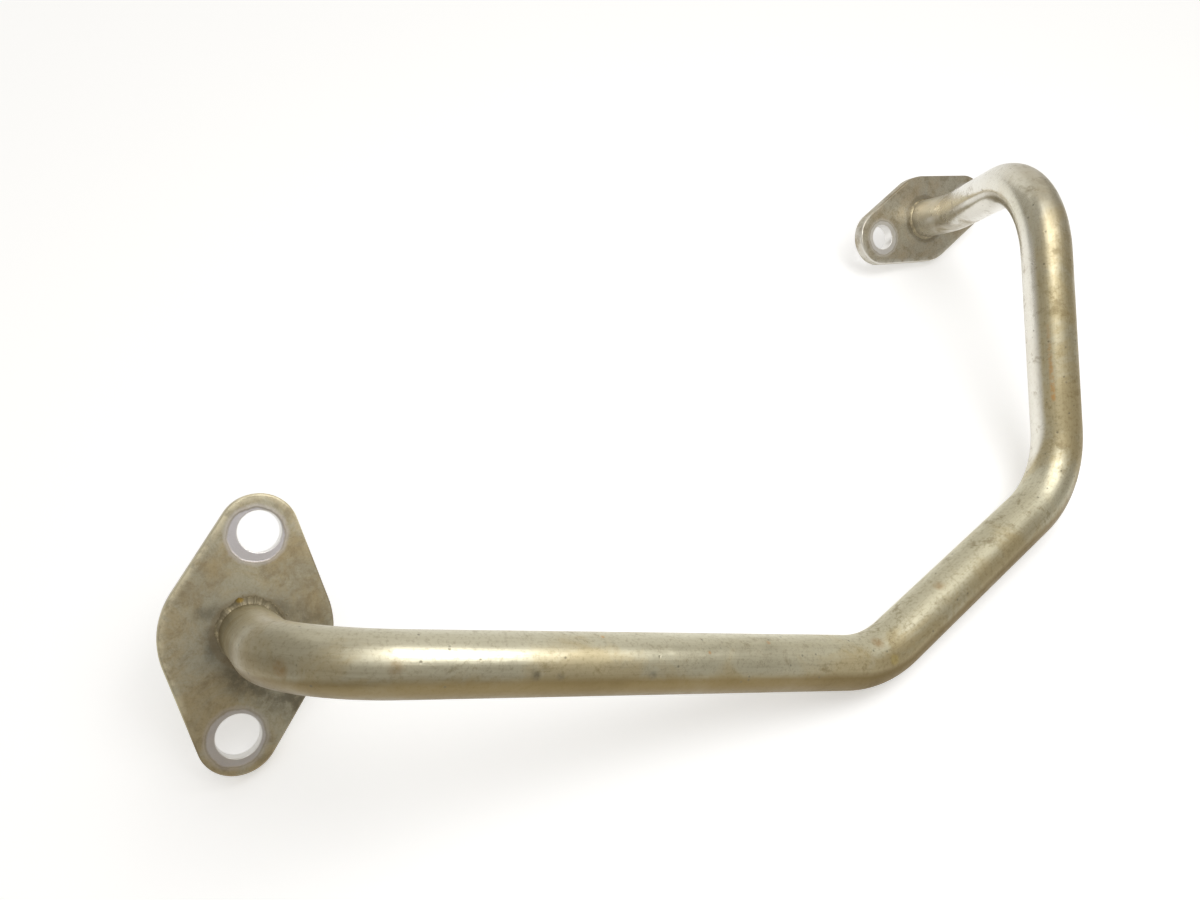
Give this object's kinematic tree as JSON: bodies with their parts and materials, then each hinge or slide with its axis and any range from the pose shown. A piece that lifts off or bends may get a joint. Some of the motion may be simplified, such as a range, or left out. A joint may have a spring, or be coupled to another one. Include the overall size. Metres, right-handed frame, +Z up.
{
  "type": "egr pipe",
  "caption": "Bent metal gas pipe with a diamond-shaped bolt flange brazed on at each end, lying on its side.",
  "frame": {"origin": "on the floor, under the middle of the whole part", "axes": "+Z up while the part lies at rest, +X along the long straight run seen from above, from the large flange to the small one, +Y across"},
  "size_m": [0.2956, 0.1914, 0.0669],
  "materials": {
    "tube_steel": "satin bent stainless tube with brown heat tint, small pits and a streak of rust",
    "flange_steel": "golden brown oxide with fine grain, pale worn edges and clean bolt marks",
    "braze": "rough bumpy braze with dark oxide"
  },
  "bodies": {
    "root": {"tube": "tube_steel", "large_flange": "flange_steel", "small_flange": "flange_steel", "large_braze": "braze", "small_braze": "braze"}
  },
  "joints": []
}
